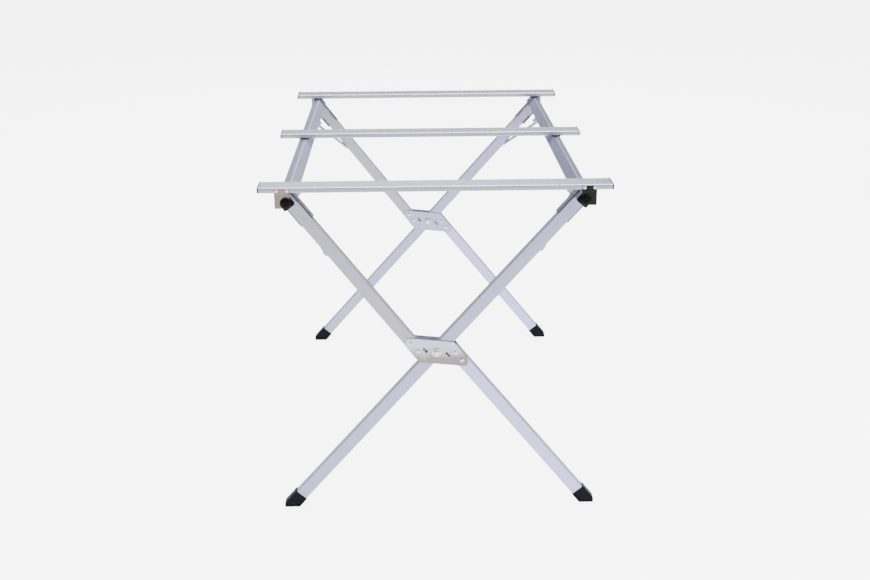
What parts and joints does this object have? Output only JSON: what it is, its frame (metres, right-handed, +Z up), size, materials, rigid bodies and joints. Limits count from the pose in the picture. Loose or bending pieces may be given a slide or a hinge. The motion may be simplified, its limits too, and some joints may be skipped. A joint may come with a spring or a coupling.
{
  "type": "folding table frame",
  "caption": "Aluminium camp table frame: crossed folding legs joined by side tubes, with hooked cross rails on top that carry a roll-up slat top.",
  "frame": {"origin": "centre of the bounding box's bottom face, on the floor", "axes": "+X along the cross rails to the right, +Y along the side tubes to the back, +Z up"},
  "size_m": [0.68, 1.0616, 0.6924],
  "materials": {
    "alu_tube": "satin",
    "alu_leg": "satin",
    "alu_rail": "satin",
    "zinc_plate": "satin",
    "steel_small": "satin",
    "black_plastic": "matte",
    "black_rubber": "matte"
  },
  "bodies": {
    "right_frame": {"right_tube": "alu_tube", "front_leg": "alu_leg", "rear_leg": "alu_leg", "front_bush": "black_plastic", "rear_bush": "black_plastic", "right_front_plug": "black_plastic", "right_rear_plug": "black_plastic", "right_front_channel": "zinc_plate", "right_rear_channel": "zinc_plate", "right_front_pin": "black_plastic", "right_rear_pin": "black_plastic", "right_front_brace": "zinc_plate", "right_rear_brace": "zinc_plate", "right_front_lug": "zinc_plate", "right_rear_lug": "zinc_plate", "right_brace_rivets": "steel_small", "front_left_boot": "black_rubber", "rear_left_boot": "black_rubber"},
    "left_frame": {"left_tube": "alu_tube", "front_upper_arm": "alu_leg", "front_lower_arm": "alu_leg", "rear_upper_arm": "alu_leg", "rear_lower_arm": "alu_leg", "front_hub_plate_outer": "zinc_plate", "front_hub_plate_inner": "zinc_plate", "rear_hub_plate_outer": "zinc_plate", "rear_hub_plate_inner": "zinc_plate", "front_hub_rivets": "steel_small", "rear_hub_rivets": "steel_small", "front_hub_bolt": "steel_small", "rear_hub_bolt": "steel_small", "left_front_plug": "black_plastic", "left_rear_plug": "black_plastic", "left_front_channel": "zinc_plate", "left_rear_channel": "zinc_plate", "left_front_pin": "black_plastic", "left_rear_pin": "black_plastic", "left_front_brace": "zinc_plate", "left_rear_brace": "zinc_plate", "left_front_lug": "zinc_plate", "left_rear_lug": "zinc_plate", "left_brace_rivets": "steel_small", "front_right_boot": "black_rubber", "rear_right_boot": "black_rubber"},
    "front_rail_set": {"front_rail": "alu_rail", "front_rail_caps": "black_plastic", "front_left_bracket": "zinc_plate", "front_right_bracket": "zinc_plate", "front_bracket_rivets": "steel_small", "front_rail_pads": "black_rubber"},
    "rear_rail_set": {"rear_rail": "alu_rail", "rear_rail_caps": "black_plastic", "rear_left_bracket": "zinc_plate", "rear_right_bracket": "zinc_plate", "rear_bracket_rivets": "steel_small", "rear_rail_pads": "black_rubber"},
    "middle_rail_set": {"middle_rail": "alu_rail", "middle_rail_caps": "black_plastic", "middle_rail_pads": "black_rubber"}
  },
  "joints": [
    {"name": "x_fold", "type": "hinge", "parent": "right_frame", "child": "left_frame", "pos_m": [0, 0, 0.343], "axis": [0, 1, 0], "range_deg": [0, 78]},
    {"name": "front_rail_turn", "type": "hinge", "parent": "right_frame", "child": "front_rail_set", "pos_m": [0.286, 0, 0.66266], "axis": [0, 1, 0], "range_deg": [0, 39]},
    {"name": "rear_rail_turn", "type": "hinge", "parent": "right_frame", "child": "rear_rail_set", "pos_m": [0.286, 0, 0.66266], "axis": [0, 1, 0], "range_deg": [0, 39]},
    {"name": "middle_rail_lift", "type": "slide", "parent": "front_rail_set", "child": "middle_rail_set", "axis": [0, 0, 1], "range_m": [0, 0.06]}
  ],
  "couplings": [
    {"joint": "front_rail_turn", "follows": "x_fold", "ratio": 0.5},
    {"joint": "rear_rail_turn", "follows": "x_fold", "ratio": 0.5}
  ]
}
